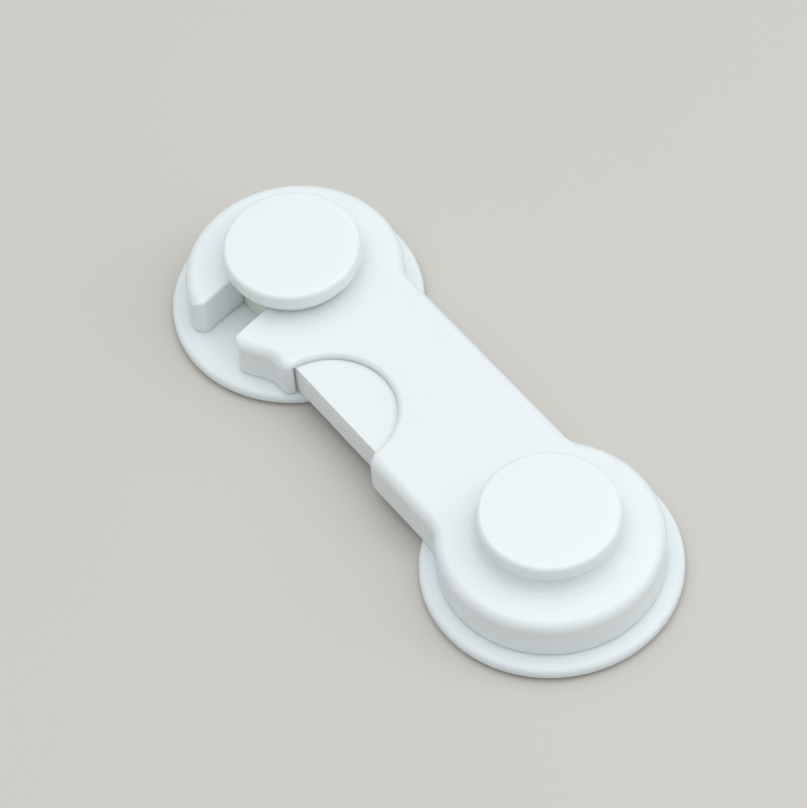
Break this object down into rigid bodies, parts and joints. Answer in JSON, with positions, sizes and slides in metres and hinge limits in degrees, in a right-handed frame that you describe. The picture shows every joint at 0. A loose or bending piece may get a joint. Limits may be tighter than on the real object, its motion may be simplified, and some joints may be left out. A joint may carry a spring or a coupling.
{
  "type": "cabinet safety lock",
  "caption": "Swing-arm child safety lock: a dumbbell arm turns on a stick-on round base and hooks under the cap of a second base, freed by a side trigger.",
  "frame": {"origin": "On the turning axis, in the adhesive face that is stuck to the furniture.", "axes": "+X from the turning axis to the latch axis, +Y the trigger's side, +Z away from the furniture."},
  "size_m": [0.113, 0.043, 0.0168],
  "materials": {
    "arm_plastic": "moulded satin gloss",
    "base_plastic": "moulded gloss",
    "cap_plastic": "moulded gloss",
    "trigger_plastic": "moulded satin gloss",
    "cover_plastic": "moulded satin",
    "post_plastic": "natural acetal",
    "washer_nylon": "natural nylon",
    "foam_tape": "matt foam tape",
    "screw_steel": "zinc plated",
    "spring_steel": "drawn wire"
  },
  "bodies": {
    "bases": {"pivot_base": "base_plastic", "latch_base": "base_plastic", "pivot_adhesive_pad": "foam_tape", "latch_adhesive_pad": "foam_tape", "pivot_post": "post_plastic", "latch_post": "post_plastic", "pivot_cap": "cap_plastic", "latch_cap": "cap_plastic", "pivot_screw": "screw_steel", "latch_screw": "screw_steel", "slip_washer": "washer_nylon", "wave_washer": "spring_steel"},
    "arm": {"arm_shell": "arm_plastic", "arm_bottom_cover": "cover_plastic", "cover_screws": "screw_steel", "near_trigger_spring": "spring_steel", "far_trigger_spring": "spring_steel"},
    "trigger": {"release_trigger": "trigger_plastic"},
    "bolt": {"lock_bolt": "post_plastic", "bolt_pin": "screw_steel"}
  },
  "joints": [
    {"name": "arm_swing", "type": "hinge", "parent": "bases", "child": "arm", "pos_m": [0, 0, 0], "axis": [0, 0, 1], "range_deg": [-335, 0]},
    {"name": "trigger_press", "type": "slide", "parent": "arm", "child": "trigger", "axis": [0, -1, 0], "range_m": [0, 0.003], "stiffness_N_per_m": 600, "springref_m": -0.003, "deforming": ["near_trigger_spring", "far_trigger_spring"]},
    {"name": "bolt_draw", "type": "slide", "parent": "arm", "child": "bolt", "axis": [-1, 0, 0], "range_m": [0, 0.003]}
  ],
  "couplings": [
    {"joint": "bolt_draw", "follows": "trigger_press", "ratio": 1}
  ]
}
